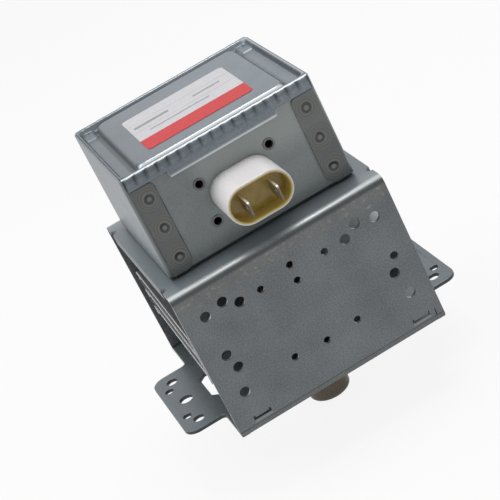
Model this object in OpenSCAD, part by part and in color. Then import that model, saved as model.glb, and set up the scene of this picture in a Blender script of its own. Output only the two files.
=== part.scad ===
// Microwave-oven magnetron, complete with magnet yoke, cooling fins and filter box.
// Millimetres. Origin on the antenna axis, in the lower face of the mounting plate.
// Z points up to the filter box, the antenna points down, the front wall faces -Y.

/* [Yoke] */
// Yoke width over the two open sides
yoke_width = 92; // [88:0.5:96]
// Yoke depth over the front and back walls
yoke_depth = 96; // [94:0.5:102]
// Height from the mounting face to the top of the yoke
yoke_height = 65; // [63:0.5:70]
// Sheet thickness of yoke and mounting plate
yoke_sheet = 1.6; // [1.4:0.1:1.8]
// Outer bend radius of the yoke
yoke_bend = 3; // [2.4:0.1:3.6]
// Large ventilation holes in the yoke walls
wall_hole = 4.3; // [3.6:0.1:4.8]
// Small locating holes in the yoke walls
wall_pin_hole = 3; // [2.4:0.1:3.4]

/* [Mounting plate] */
// Ear width along the depth of the yoke
ear_width = 53.6; // [51:0.2:58]
// Corner radius of the ears
ear_radius = 5.5; // [4:0.5:7]
// Screw hole spacing across the ears
screw_span_x = 109.8; // [108.6:0.2:112]
// Distance of the screw holes from the ear ends
screw_edge = 7.7; // [6.5:0.1:9]
// Screw hole spacing along an ear
screw_span_y = 38.4; // [37:0.2:40]
// Screw hole diameter
screw_hole = 4.7; // [4.2:0.1:5]
// Distance of the small holes from the ear ends
pilot_edge = 4.4; // [3.6:0.1:5]
// Spacing of the small holes along an ear
pilot_span_y = 26; // [24:0.2:26.4]
// Small hole diameter
pilot_hole = 3.6; // [3:0.1:3.8]
// Middle hole diameter
middle_hole = 5.7; // [5:0.1:6.2]
// Air window length along the depth of the yoke
window_length = 22; // [18:0.5:26]

/* [Magnets and fins] */
// Outer diameter of the ring magnets
magnet_diameter = 54; // [50:0.5:55]
// Thickness of each ring magnet
magnet_height = 14; // [12.5:0.5:14.5]
// Bore of the ring magnets
magnet_bore = 22; // [21:0.5:24]
// Fin sheet thickness
fin_sheet = 0.6; // [0.5:0.1:0.8]
// Vertical pitch of the fins
fin_pitch = 4.4; // [4:0.1:4.6]
// Fin width across the yoke
fin_width = 90.4; // [86:0.2:90.6]
// Half length of a fin along the depth of the yoke
fin_half = 39.7; // [36:0.1:42]
// Height of the fin stack above the middle of the anode
fin_lift = 2.1; // [0:0.1:3]
// Turn of the fins on the anode in degrees
fin_turn = 0.9; // [0:0.1:1]
// Gap between a bent fin end and the fin below
fin_gap = 0.3; // [0.2:0.1:1]
// Collar height of a fin on the anode
fin_collar = 2.2; // [1.6:0.1:2.6]

/* [Vacuum tube] */
// Outer diameter of the anode
anode_diameter = 41; // [39:0.5:43]
// Anode wall thickness
anode_wall = 2.5; // [2.2:0.1:2.8]
// Height of the anode vanes
vane_height = 9.5; // [8.5:0.5:10.5]
// Thickness of the anode vanes
vane_sheet = 2; // [1.6:0.1:2.2]
// Outer diameter of the two sealing cups
cup_tube = 20; // [19:0.2:20.4]
// Antenna length below the mounting face
antenna_length = 29.5; // [27:0.5:33]
// Antenna cap diameter
antenna_diameter = 18; // [17.4:0.2:19]

/* [Filter box] */
// Box width
box_width = 80.6; // [78:0.2:84]
// Box depth
box_depth = 73; // [70:0.5:78]
// Box height over the yoke, rim included
box_height = 45; // [43:0.5:48]
// Box sheet thickness
box_sheet = 0.8; // [0.7:0.1:0.9]
// Backward offset of the box from the antenna axis
box_shift = 1.4; // [0:0.1:2]
// Width of the welded corner flaps
flap_width = 11; // [9:0.5:13]
// Lid sheet thickness
lid_sheet = 0.6; // [0.5:0.1:0.7]
// Depth of the lid tray below its rim
lid_depth = 3.2; // [3:0.1:3.6]
// Height of the pressed lid panel
lid_raise = 2.4; // [2:0.1:2.6]
// Pitch of the crimp on the lid skirt
crimp_pitch = 4.6; // [4.2:0.1:5]

/* [Capacitor and chokes] */
// Sideways offset of the capacitor
cap_x = 0.5; // [0:0.1:1]
// Height of the capacitor above the yoke
cap_rise = 20.1; // [19:0.1:22]
// Length of the terminal shroud in front of the box
shroud_length = 19.9; // [18:0.1:24]
// Shroud width
shroud_width = 26.6; // [25:0.2:27]
// Shroud height
shroud_height = 15.8; // [14:0.2:16]
// Shroud wall thickness
shroud_wall = 1.3; // [1:0.1:1.6]
// Depth of the sealing resin below the shroud rim
resin_depth = 6.3; // [5:0.1:9]
// Spacing of the terminal blades
blade_span = 12.2; // [12:0.1:12.8]
// Blade width
blade_width = 6.3; // [6:0.05:6.35]
// Blade thickness
blade_sheet = 0.8; // [0.7:0.05:0.85]
// Reach of the blades beyond the shroud rim
blade_reach = 5.8; // [1:0.1:7]
// Rivet spacing across the capacitor
rivet_span_x = 30; // [29.6:0.2:32]
// Rivet spacing up the capacitor
rivet_span_z = 16.4; // [15.8:0.2:17.4]
// Choke wire diameter
choke_wire = 1.4; // [1.2:0.1:1.5]
// Choke core diameter
choke_core = 5; // [4.6:0.1:5.2]

/* [Hidden] */
$fn = 64;
fit = 0.1;
play = 0.4;
cut = 1;
half_w = yoke_width / 2;
half_d = yoke_depth / 2;
inner_d = half_d - yoke_sheet;
ceiling = yoke_height - yoke_sheet;
lip_inset = 13;
lip_half = half_d - lip_inset;
lip_drop = 3;
relief = 2;
wall_chamfer = 0.4;
stake_edge = 10.2;
stake_shift = 0.8;
stake_wide = 7.6;
stake_z = 3.9;
stake_slit = 0.9;
stake_hook = 1.6;
stake_push = 0.8;
stake_x = half_w - stake_edge;
mark_edge = 2.9;
mark_z = 2.2;
mark_wide = 0.6;
mark_tall = 3;
coin_edge = 3.4;
coin_tall = 2;
coin_deep = 0.2;
vent_outer_in = 9.1;
vent_outer_down = 13.1;
vent_middle_in = 17.2;
vent_middle_down = 11.3;
vent_inner_in = 23;
vent_inner_down = 14.9;
vent_side_in = 11.3;
vent_side_up = 27.1;
vent_low_in = 9;
vent_low_up = 16.5;
vent_left_in = 9.4;
pin_right_in = 8.6;
pin_right_more = 0.4;
pair_up = 33.7;
pin_in = 32.1;
pin_low_up = 18.3;
pin_middle_down = 12.3;
pin_second_down = 19.4;
pin_middle_up = 17.4;
window_wall = 6.2;
window_edge = 0.7;
window_in = magnet_diameter / 2 + window_wall;
window_out = half_w - window_edge;
window_chamfer = 2.7;
ear_fillet = 2;
plate_length = screw_span_x + 2 * screw_edge;
pilot_span_x = plate_length - 2 * pilot_edge;
middle_inset = 0.4;
middle_x = screw_span_x / 2 - middle_inset;
throat = cup_tube / 2 + play;
magnet_chamfer = 0.8;
cup_sheet = 0.5;
anode_low = yoke_sheet + magnet_height + cup_sheet;
anode_top = ceiling - magnet_height - cup_sheet;
mid_z = (anode_low + anode_top) / 2;
anode_r = anode_diameter / 2;
bore_r = anode_r - anode_wall;
seat_r = bore_r + 1.2;
pole_sheet = 1.6;
pole_gap = 1.8;
pole_eye = 5;
pole_tip = 7.4;
pole_foot = 11.8;
pole_z = vane_height / 2 + pole_gap;
vane_count = 10;
vane_tip = 4.6;
strap_tall = 1.2;
strap_wide = 0.8;
strap_in = 6.3;
strap_out = 7.8;
strap_clear = 0.8;
cup_flange = anode_r - 0.5;
shield_r = 3.6;
shield_tall = 1.6;
shield_z = vane_height / 2 + 0.3;
filament_r = 2;
filament_wire = 0.5;
filament_turns = 8;
lead_r = 0.7;
lead_x = 2.4;
stem_z = yoke_height + 7;
stem_tall = 12;
stem_r = cup_tube / 2 - 1;
stem_top = stem_z + stem_tall;
terminal_sheet = 0.5;
terminal_reach = 8.4;
terminal_tab = 4;
terminal_wide = 4;
terminal_edge = 0.95;
antenna_strip = 0.9;
antenna_wide = 2;
antenna_lead_x = 9.6;
antenna_bend = yoke_sheet + magnet_height + 2.6;
antenna_foot = yoke_sheet + 2;
antenna_eye = 2;
neck_z = -4.5;
ceramic_tall = 11;
ceramic_r = antenna_diameter / 2 - 1.2;
ceramic_low = neck_z - ceramic_tall;
exhaust_r = antenna_diameter / 2 - 0.6;
cap_sheet = 0.6;
cap_round = 2;
pinch_z = -antenna_length + cap_sheet + 1.5;
pinch_r = norm([antenna_strip, antenna_wide]) / 2;
collar_r = throat + 1.2;
gasket_in = collar_r + 0.3;
gasket_out = gasket_in + 4.6;
gasket_low = -4.2;
box_floor = yoke_height;
box_rise = 0.9;
box_top = yoke_height + box_height;
box_front = box_shift - box_depth / 2;
box_half = box_width / 2;
panel_front = box_front + box_sheet;
panel_back = box_front + 2 * box_sheet;
wall_top = box_top - lid_sheet;
corner_r = 1.6;
corner_relief = 1;
foot_in_x = 2.5;
foot_in_y = 3.5;
flap_round = 5;
flap_corner = 2.5;
flap_gap = 0.6;
tray_w = box_width - 2 * box_sheet - 2 * fit;
tray_d = box_depth - 4 * box_sheet - 2 * fit;
tray_r = 3;
tray_z = box_top - lid_depth;
panel_w = tray_w - 14;
panel_d = tray_d - 6;
panel_r = 5;
skirt_low = 5.4;
skirt_deep = 8;
skirt_end = 1;
skirt_half = box_half - skirt_end;
skirt_mid = 22.5;
skirt_slope = 0.8;
crimp_flat = 0.8;
crimp_bulge = 0.6;
crimp_c = (crimp_pitch - crimp_flat) / 2;
crimp_r = (crimp_c * crimp_c + crimp_bulge * crimp_bulge) / (2 * crimp_bulge);
crimp_tall = 4.4;
crimp_count = floor(2 * (skirt_half - crimp_c) / crimp_pitch);
cap_z = yoke_height + cap_rise;
shroud_end = box_front - shroud_length;
resin_front = shroud_end + resin_depth;
flange_sheet = 0.8;
flange_edge = 4;
flange_round = 3;
flange_back = panel_back + flange_sheet;
case_long = 13;
case_back = flange_back + case_long;
element_r = 4.6;
element_clear = 0.5;
element_out = 6;
element_in = 3;
element_front = panel_back - element_out;
element_back = case_back - element_in;
post_r = 1.5;
post_out = 3;
post_lap = 1;
post_back = case_back + post_out;
blade_sunk = 3;
blade_root = resin_front + blade_sunk;
blade_tip = shroud_end - blade_reach;
blade_chamfer = 1;
blade_eye = 1.6;
blade_eye_in = 4;
rivet_r = 2;
rivet_eye = 1.55;
rivet_lip = 0.4;
rivet_flare = 0.4;
choke_x = 17;
choke_r = choke_core / 2 + choke_wire / 2 + fit;
choke_gap = 4.2;
choke_front = post_back + choke_gap;
choke_long = 24;
choke_turns = 9;
choke_start = 0.3;
core_inset = 2;
tail_in = 2.5;
terminal_weld = 2;
label_w = 45.5;
label_d = 40.8;
label_round = 2;
label_sheet = 0.15;
label_x = -0.75;
label_y = -0.7;

// Rectangle with round corners about the origin
module round_rect(w, d, r) {
  square([w - 2 * r, d], center = true);
  square([w, d - 2 * r], center = true);
  for (x = [-1, 1], y = [-1, 1])
    translate([x * (w / 2 - r), y * (d / 2 - r)])
      circle(r);
}

// Slot with half-round ends along X
module oval(w, h) {
  square([w - h, h], center = true);
  for (s = [-1, 1])
    translate([s * (w - h) / 2, 0])
      circle(h / 2);
}

// Straight round bar between two points
module bar(p, q, r) {
  d = q - p;
  l = norm(d);
  translate(p)
    rotate([0, acos(d[2] / l), atan2(d[1], d[0])])
      cylinder(h = l, r = r);
}

// Extrusion along X of a profile drawn in Y and Z
module along_x(l) {
  rotate([90, 0, 90])
    translate([0, 0, -l / 2])
      linear_extrude(l)
        children();
}

// Extrusion toward +Y, starting at y, of a profile drawn in X and Z
module along_y(y, l) {
  translate([0, y + l, 0])
    rotate([90, 0, 0])
      linear_extrude(l)
        children();
}

// Folded section of the yoke, offset inward
module yoke_section(inset, low) {
  d = half_d - inset;
  h = yoke_height - inset;
  r = yoke_bend - inset;
  translate([-d, low])
    square([2 * d, h - r - low]);
  translate([r - d, low])
    square([2 * (d - r), h - low]);
  for (s = [-1, 1])
    translate([s * (d - r), h - r])
      circle(r);
}

// Hole pattern of a yoke wall, drawn in X and Z
module wall_pattern() {
  for (m = [0, 1])
    mirror([m, 0]) {
      for (p = [[vent_outer_in, vent_outer_down], [vent_middle_in, vent_middle_down],
                [vent_inner_in, vent_inner_down]])
        translate([half_w - p[0], yoke_height - p[1]])
          circle(d = wall_hole);
      translate([half_w - vent_side_in, vent_side_up])
        circle(d = wall_hole);
      translate([half_w - vent_low_in, vent_low_up])
        circle(d = wall_hole);
      for (z = [yoke_height - vent_inner_down, pin_low_up])
        translate([half_w - pin_in, z])
          circle(d = wall_pin_hole);
    }
  translate([vent_left_in - half_w, pair_up])
    circle(d = wall_hole);
  translate([half_w - pin_right_in, pair_up])
    circle(d = wall_pin_hole + pin_right_more);
  for (z = [yoke_height - pin_middle_down, yoke_height - pin_second_down, pin_middle_up])
    translate([0, z])
      circle(d = wall_pin_hole);
}

// Lanced slits with hooked ends above the stakes, drawn in X and Z
module stake_pattern() {
  w = stake_wide;
  t = stake_slit;
  for (x = [-stake_x, stake_x])
    translate([x + stake_shift, stake_z]) {
      translate([-w / 2, 0])
        square([w, t]);
      for (e = [-w / 2, w / 2 - t])
        translate([e, 0])
          square([t, stake_hook]);
    }
  translate([half_w - mark_edge - mark_wide, mark_z])
    square([mark_wide, mark_tall]);
}

// Yoke: one folded sheet with side lips, wall holes, coined lower edges and stakes over the plate
module yoke() {
  color("#6b7073")
    difference() {
      union() {
        along_x(yoke_width)
          difference() {
            yoke_section(0, 0);
            yoke_section(yoke_sheet, -cut);
          }
        for (s = [-1, 1])
          translate([s * (half_w - yoke_sheet / 2), 0, ceiling - lip_drop / 2])
            cube([yoke_sheet, 2 * lip_half, lip_drop + fit], center = true);
        for (x = [-stake_x, stake_x], y = [-1, 1])
          translate([x + stake_shift, y * (inner_d - stake_push / 2 + fit), (yoke_sheet + stake_z) / 2])
            cube([stake_wide - 2 * stake_slit, stake_push + 2 * fit, stake_z - yoke_sheet], center = true);
      }
      along_y(-half_d - cut, yoke_depth + 2 * cut) {
        wall_pattern();
        stake_pattern();
      }
      translate([0, 0, ceiling - cut])
        cylinder(h = yoke_sheet + 2 * cut, r = throat);
      for (x = [-1, 1], y = [-1, 1]) {
        translate([x * half_w, y * (lip_half + relief), ceiling - lip_drop])
          cylinder(h = 2 * lip_drop + yoke_sheet, r = relief);
        translate([x * half_w, y * half_d, 0])
          rotate([0, 45, 0])
            cube([2 * wall_chamfer * sin(45), 4 * yoke_sheet, 2 * wall_chamfer * sin(45)], center = true);
      }
      for (y = [-1, 1])
        translate([0, y * half_d, 0])
          cube([2 * (half_w - coin_edge), 2 * coin_deep, 2 * coin_tall], center = true);
    }
}

// One ear with rounded outer corners and filleted roots
module ear() {
  e = plate_length / 2;
  r = ear_radius;
  h = ear_width / 2;
  translate([0, -h])
    square([e - r, 2 * h]);
  translate([0, r - h])
    square([e, 2 * (h - r)]);
  for (s = [-1, 1]) {
    translate([e - r, s * (h - r)])
      circle(r);
    difference() {
      translate([half_w, s * (h + ear_fillet / 2)])
        square([2 * ear_fillet, ear_fillet], center = true);
      translate([half_w + ear_fillet, s * (h + ear_fillet)])
        circle(ear_fillet);
    }
  }
}

// Air window with chamfered corners
module window() {
  w = window_out - window_in;
  c = window_chamfer;
  h = window_length / 2;
  translate([window_in, 0])
    polygon([[0, c - h], [c, -h], [w - c, -h], [w, c - h], [w, h - c], [w - c, h], [c, h], [0, h - c]]);
}

// Mounting plate with ears, windows and the antenna hole
module mounting_plate() {
  d = inner_d - fit;
  color("#7d858a")
    linear_extrude(yoke_sheet)
      difference() {
        union() {
          square([yoke_width, 2 * d], center = true);
          for (m = [0, 1])
            mirror([m, 0])
              ear();
        }
        circle(throat);
        for (m = [0, 1])
          mirror([m, 0]) {
            window();
            translate([middle_x, 0])
              circle(d = middle_hole);
            for (s = [-1, 1]) {
              translate([screw_span_x / 2, s * screw_span_y / 2])
                circle(d = screw_hole);
              translate([pilot_span_x / 2, s * pilot_span_y / 2])
                circle(d = pilot_hole);
            }
          }
      }
}

// Ferrite ring with broken edges
module ring_magnet(z) {
  o = magnet_diameter / 2;
  i = magnet_bore / 2;
  c = magnet_chamfer;
  color("#33363a")
    translate([0, 0, z])
      rotate_extrude()
        polygon([[i, 0], [o - c, 0], [o, c], [o, magnet_height - c], [o - c, magnet_height],
                 [i, magnet_height]]);
}

module magnet_upper() {
  ring_magnet(ceiling - magnet_height);
}

module magnet_lower() {
  ring_magnet(yoke_sheet);
}

// Fin: flat sheet with both ends bent down and a collar on the anode
module fin(i) {
  t = fin_sheet;
  drop = fin_pitch - fin_gap;
  z = mid_z + fin_lift + (i - 3) * fin_pitch - t;
  color("#b9bdc0")
    translate([0, 0, z])
      rotate([0, 0, -fin_turn])
        difference() {
          union() {
            along_x(fin_width) {
              translate([-fin_half, 0])
                square([2 * fin_half, t]);
              for (y = [-fin_half, fin_half - t])
                translate([y, t - drop])
                  square([t, drop]);
            }
            cylinder(h = fin_collar, r = anode_r + t);
          }
          translate([0, 0, -cut])
            cylinder(h = fin_collar + 2 * cut, r = anode_r);
        }
}

module fin_1() {
  fin(1);
}

module fin_2() {
  fin(2);
}

module fin_3() {
  fin(3);
}

module fin_4() {
  fin(4);
}

module fin_5() {
  fin(5);
}

// Copper anode tube with a seat for a pole piece at each end
module anode_cylinder() {
  a = anode_low;
  b = anode_top;
  s = pole_sheet;
  color("#b87a52")
    rotate_extrude()
      polygon([[seat_r, a], [anode_r, a], [anode_r, b], [seat_r, b], [seat_r, b - s], [bore_r, b - s],
               [bore_r, a + s], [seat_r, a + s]]);
}

// Profile of one vane in radius and height, with strap notches
module vane_section(deep_in) {
  v = vane_height / 2;
  a = strap_in - 0.4;
  m = (strap_in + strap_wide + strap_out) / 2;
  b = strap_out + strap_wide + 0.4;
  difference() {
    translate([vane_tip, -v])
      square([bore_r - vane_tip, vane_height]);
    for (s = [-1, 1]) {
      d_in = strap_tall + (deep_in ? strap_clear : 0);
      d_out = strap_tall + (deep_in ? 0 : strap_clear);
      translate([a, s > 0 ? v - d_in : -v - cut])
        square([m - a, d_in + cut]);
      translate([m, s > 0 ? v - d_out : -v - cut])
        square([b - m, d_out + cut]);
    }
  }
}

// Ten radial vanes, alternately notched for the inner and the outer straps
module anode_vanes() {
  color("#b87a52")
    for (i = [0 : vane_count - 1])
      rotate([0, 0, i * 360 / vane_count])
        translate([0, vane_sheet / 2, mid_z])
          rotate([90, 0, 0])
            linear_extrude(vane_sheet)
              intersection() {
                vane_section(i % 2 == 0);
                square([2 * (bore_r - 0.05), 2 * vane_height], center = true);
              }
}

// Strap rings above and below the vanes
module anode_straps() {
  color("#a8744f")
    for (s = [0, 1], r = [strap_in, strap_out])
      translate([0, 0, mid_z + (s == 1 ? vane_height / 2 - strap_tall : -vane_height / 2)])
        difference() {
          cylinder(h = strap_tall, r = r + strap_wide);
          translate([0, 0, -cut])
            cylinder(h = strap_tall + 2 * cut, r = r);
        }
}

// Iron pole piece: rim in the anode seat, cone, flat tip round the cathode
module pole_piece() {
  f = (anode_top - anode_low) / 2;
  t = pole_sheet;
  rotate_extrude()
    polygon([[pole_eye, pole_z], [pole_tip, pole_z], [pole_foot, f - t], [seat_r, f - t], [seat_r, f],
             [pole_foot - 0.8, f], [pole_tip - 0.8, pole_z + t], [pole_eye, pole_z + t]]);
}

module pole_piece_upper() {
  color("#7f8387")
    translate([0, 0, mid_z])
      pole_piece();
}

module pole_piece_lower() {
  color("#7f8387")
    difference() {
      translate([0, 0, mid_z])
        mirror([0, 0, 1])
          pole_piece();
      translate([antenna_lead_x, 0, anode_low - cut])
        cylinder(h = mid_z - anode_low, r = antenna_eye);
    }
}

// Coiled filament
module filament() {
  h = 2 * shield_z - filament_wire;
  color("#5c5a58")
    translate([0, 0, mid_z - h / 2])
      linear_extrude(h, twist = -360 * filament_turns, slices = 12 * filament_turns, $fn = 6)
        translate([filament_r, 0])
          circle(filament_wire / 2);
}

// Upper end shield, pierced for both leads
module end_shield_upper() {
  color("#74777a")
    translate([0, 0, mid_z + shield_z])
      difference() {
        cylinder(h = shield_tall, r = shield_r);
        translate([0, 0, -cut])
          cylinder(h = shield_tall + 2 * cut, r = lead_r + fit);
        translate([lead_x, 0, -cut])
          cylinder(h = shield_tall + 2 * cut, r = lead_r);
      }
}

// Lower end shield on the end of the centre lead
module end_shield_lower() {
  color("#74777a")
    translate([0, 0, mid_z - shield_z - shield_tall])
      difference() {
        cylinder(h = shield_tall, r = shield_r);
        translate([0, 0, -cut])
          cylinder(h = shield_tall + 2 * cut, r = lead_r);
      }
}

// Lead through the filament to the lower end shield
module centre_lead() {
  color("#8a8d90")
    bar([0, 0, mid_z - shield_z - shield_tall], [0, 0, stem_top + terminal_sheet + 0.6], lead_r);
}

// Lead to the upper end shield
module side_lead() {
  color("#8a8d90")
    bar([lead_x, 0, mid_z + shield_z], [lead_x, 0, stem_top + terminal_sheet + 0.6], lead_r);
}

// Cathode-side sealing cup through the upper magnet
module cathode_cup() {
  r = cup_tube / 2;
  t = cup_sheet;
  color("#9a9da0")
    rotate_extrude()
      polygon([[r - t, anode_top], [cup_flange, anode_top], [cup_flange, anode_top + t], [r, anode_top + t],
               [r, stem_z], [r - 2.5, stem_z], [r - 2.5, stem_z - t], [r - t, stem_z - t]]);
}

// Ceramic stem that carries the two leads
module stem_ceramic() {
  color("#e3d9d2")
    difference() {
      translate([0, 0, stem_z])
        cylinder(h = stem_tall, r = stem_r);
      for (x = [0, lead_x])
        translate([x, 0, stem_z - cut])
          cylinder(h = stem_tall + 2 * cut, r = lead_r);
    }
}

// Angle terminal drawn toward +X from its inner edge, welded to the lead at x
module stem_terminal(inner, x) {
  t = terminal_sheet;
  w = terminal_wide;
  difference() {
    union() {
      translate([inner, -w / 2, stem_top])
        cube([terminal_reach - inner, w, t]);
      translate([terminal_reach - t, -w / 2, stem_top])
        cube([t, w, terminal_tab]);
    }
    translate([x, 0, stem_top - cut])
      cylinder(h = t + 2 * cut, r = lead_r);
  }
}

// Two angle terminals on the stem
module stem_terminals() {
  color("#b98a5e") {
    stem_terminal(lead_x - terminal_edge, lead_x);
    mirror([1, 0, 0])
      stem_terminal(-terminal_edge, 0);
  }
}

// Output-side sealing cup through the lower magnet
module output_cup() {
  r = cup_tube / 2;
  t = cup_sheet;
  color("#9a9da0")
    rotate_extrude()
      polygon([[r - t, anode_low], [cup_flange, anode_low], [cup_flange, anode_low - t], [r, anode_low - t],
               [r, neck_z], [ceramic_r - 1.6, neck_z], [ceramic_r - 1.6, neck_z + t], [r - t, neck_z + t]]);
}

// Ceramic tube of the antenna
module output_ceramic() {
  color("#ddd0c6")
    translate([0, 0, ceramic_low])
      difference() {
        cylinder(h = ceramic_tall, r = ceramic_r);
        translate([0, 0, -cut])
          cylinder(h = ceramic_tall + 2 * cut, r = ceramic_r - 2);
      }
}

// Copper exhaust tube, closed on the antenna lead
module exhaust_tube() {
  r = exhaust_r;
  t = 0.8;
  n = 3;
  z = ceramic_low - 5;
  color("#b07850")
    rotate_extrude()
      polygon([[ceramic_r - 2, ceramic_low], [r, ceramic_low], [r, z], [n, z - 2], [n, pinch_z],
               [pinch_r, pinch_z], [pinch_r, z - 1], [r - 2.6, z + t], [r - 2.6, ceramic_low - t],
               [ceramic_r - 2, ceramic_low - t]]);
}

// Antenna lead: copper strip from a vane through the lower pole piece to the exhaust tube
module antenna_lead() {
  x = antenna_lead_x;
  h = antenna_strip / 2;
  m = h * tan(atan2(x, antenna_bend - antenna_foot) / 2);
  top = mid_z - vane_height / 2;
  color("#b5764c")
    along_y(-antenna_wide / 2, antenna_wide)
      polygon([[x + h, top], [x + h, antenna_bend - m], [h, antenna_foot - m], [h, pinch_z], [-h, pinch_z],
               [-h, antenna_foot + m], [x - h, antenna_bend + m], [x - h, top]]);
}

// Deep-drawn antenna cap over the exhaust tube
module antenna_cap() {
  r = antenna_diameter / 2;
  t = cap_sheet;
  q = cap_round;
  z = -antenna_length;
  top = ceramic_low;
  color("#6a6155")
    rotate_extrude()
      difference() {
        union() {
          translate([0, z])
            square([r - q, top - z]);
          translate([0, z + q])
            square([r, top - z - q]);
          translate([r - q, z + q])
            circle(q);
        }
        translate([0, z + t])
          square([r - q, top - z]);
        translate([0, z + q])
          square([r - t, top - z]);
        translate([r - q, z + q])
          circle(q - t);
        translate([-2 * r, z - cut])
          square([2 * r, 2 * r + top - z]);
      }
}

// Stamped collar that centres the gasket on the mounting plate
module gasket_collar() {
  i = throat;
  o = collar_r;
  color("#8b9094")
    rotate_extrude()
      polygon([[i + 0.6, 0], [gasket_out + 1, 0], [gasket_out + 1, -0.6], [o, -0.6], [o, gasket_low],
               [o + 1.2, gasket_low], [o + 1.2, gasket_low - 0.6], [i + 0.6, gasket_low - 0.6]]);
}

// Knitted-wire gasket ring
module rf_gasket() {
  h = -0.6 - gasket_low;
  w = gasket_out - gasket_in;
  q = 1.2;
  color("#a9a79c")
    rotate_extrude()
      translate([(gasket_in + gasket_out) / 2, (gasket_low - 0.6) / 2])
        round_rect(w, h, q);
}

// Flap of a side wall folded onto the front or back panel, drawn in X and Z
module flap() {
  low = box_floor + box_rise;
  top = box_top - skirt_low - flap_gap;
  r = flap_round;
  q = flap_corner;
  x = box_half - flap_width;
  w = flap_width - corner_r;
  translate([x, low + r])
    square([w, top - low - r - q]);
  translate([x + r, low])
    square([w - r, r + cut]);
  translate([x + r, low + r])
    circle(r);
  translate([x + q, top - q - cut])
    square([w - q, q + cut]);
  translate([x + q, top - q])
    circle(q);
}

// Side wall with its folded corners, drawn in plan
module side_wall() {
  difference() {
    round_rect(box_width, box_depth, corner_r);
    round_rect(box_width - 2 * box_sheet, box_depth - 2 * box_sheet, corner_r - box_sheet);
    square([2 * (box_half - corner_r), 2 * box_depth], center = true);
  }
}

// Filter box folded from one sheet, side flaps welded over the end panels
module filter_box() {
  low = box_floor + box_rise;
  pw = box_width - 2 * box_sheet - 2 * fit;
  color("#7d8281")
    difference() {
      union() {
        translate([0, box_shift, low])
          linear_extrude(wall_top - low)
            side_wall();
        for (m = [0, 1], n = [0, 1])
          translate([0, box_shift, 0])
            mirror([m, 0, 0])
              mirror([0, n, 0])
                along_y(-box_depth / 2, box_sheet)
                  flap();
        for (s = [-1, 1])
          translate([0, box_shift + s * (box_depth / 2 - 1.5 * box_sheet), (low + wall_top) / 2])
            cube([pw, box_sheet, wall_top - low], center = true);
        translate([0, box_shift, low + box_sheet / 2])
          cube([box_width - box_sheet, box_depth - 3 * box_sheet, box_sheet], center = true);
        translate([0, box_shift, box_floor + box_rise / 2])
          cube([box_width - 2 * foot_in_x, box_depth - 2 * foot_in_y, box_rise], center = true);
      }
      translate([0, 0, box_floor - cut])
        cylinder(h = box_rise + box_sheet + 2 * cut, r = throat);
      for (x = [-1, 1], y = [-1, 1])
        translate([x * (box_half - box_sheet), box_shift + y * (box_depth / 2 - box_sheet), low - cut])
          cylinder(h = corner_relief + cut, r = corner_relief);
      along_y(box_front - cut, 3 * box_sheet + cut)
        translate([cap_x, cap_z]) {
          oval(shroud_width + 2 * fit, shroud_height + 2 * fit);
          for (x = [-1, 1], z = [-1, 1])
            translate([x * rivet_span_x / 2, z * rivet_span_z / 2])
              circle(rivet_r);
        }
    }
}

// Rounded pad with sloping sides, base at z = 0
module pressed_pad(w, d, r, h) {
  module flank(a, b) {
    rotate([90, 0, 90])
      translate([0, 0, -a / 2])
        linear_extrude(a)
          polygon([[-b / 2, 0], [b / 2, 0], [b / 2 - h, h], [h - b / 2, h]]);
  }
  flank(w - 2 * r, d);
  rotate([0, 0, 90])
    flank(d - 2 * r, w);
  for (x = [-1, 1], y = [-1, 1])
    translate([x * (w / 2 - r), y * (d / 2 - r), 0])
      cylinder(h = h, r1 = r, r2 = r - h);
}

// Skirt over an end panel, deeper in the middle, drawn in X and Z
module skirt_outline() {
  t = box_top - fit;
  low = t - skirt_low;
  deep = t - skirt_deep;
  step = skirt_mid + skirt_slope;
  polygon([[-skirt_half, low], [-step, low], [-skirt_mid, deep], [skirt_mid, deep], [step, low],
           [skirt_half, low], [skirt_half, t], [-skirt_half, t]]);
}

// Lid: tray with a pressed panel, rim folded over the end panels, crimped skirts
module filter_box_lid() {
  t = lid_sheet;
  color("#8f979c") {
    translate([0, box_shift, 0])
      difference() {
        union() {
          translate([0, 0, tray_z])
            linear_extrude(box_top - tray_z)
              round_rect(tray_w, tray_d, tray_r);
          for (s = [-1, 1])
            translate([0, s * (box_depth / 2 - box_sheet), box_top - t / 2])
              cube([2 * skirt_half, 2 * box_sheet + 2 * t + fit, t], center = true);
        }
        difference() {
          translate([0, 0, tray_z + t])
            linear_extrude(box_top)
              round_rect(tray_w - 2 * t, tray_d - 2 * t, tray_r - t);
          translate([0, 0, tray_z + t])
            pressed_pad(panel_w, panel_d, panel_r, lid_raise);
        }
        translate([0, 0, tray_z])
          translate([0, 0, -0.01])
            pressed_pad(panel_w - 2 * t, panel_d - 2 * t, panel_r - t, lid_raise);
      }
    translate([0, box_shift, 0])
      for (n = [0, 1])
        mirror([0, n, 0]) {
          along_y(-box_depth / 2 - t - fit / 2, t)
            skirt_outline();
          for (i = [0 : crimp_count])
            translate([(i - crimp_count / 2) * crimp_pitch, -box_depth / 2 - t - fit / 2,
                       box_top - t - crimp_tall])
              intersection() {
                translate([0, crimp_r - crimp_bulge, 0])
                  cylinder(h = crimp_tall + t / 2, r = crimp_r);
                translate([-crimp_c, -crimp_bulge, 0])
                  cube([2 * crimp_c, crimp_bulge + fit, crimp_tall + t / 2]);
              }
        }
  }
}

// Plain label on the pressed panel of the lid
module lid_label() {
  color("#dcd9de")
    translate([label_x, label_y, tray_z + lid_sheet + lid_raise])
      linear_extrude(label_sheet)
        round_rect(label_w, label_d, label_round);
}

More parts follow.
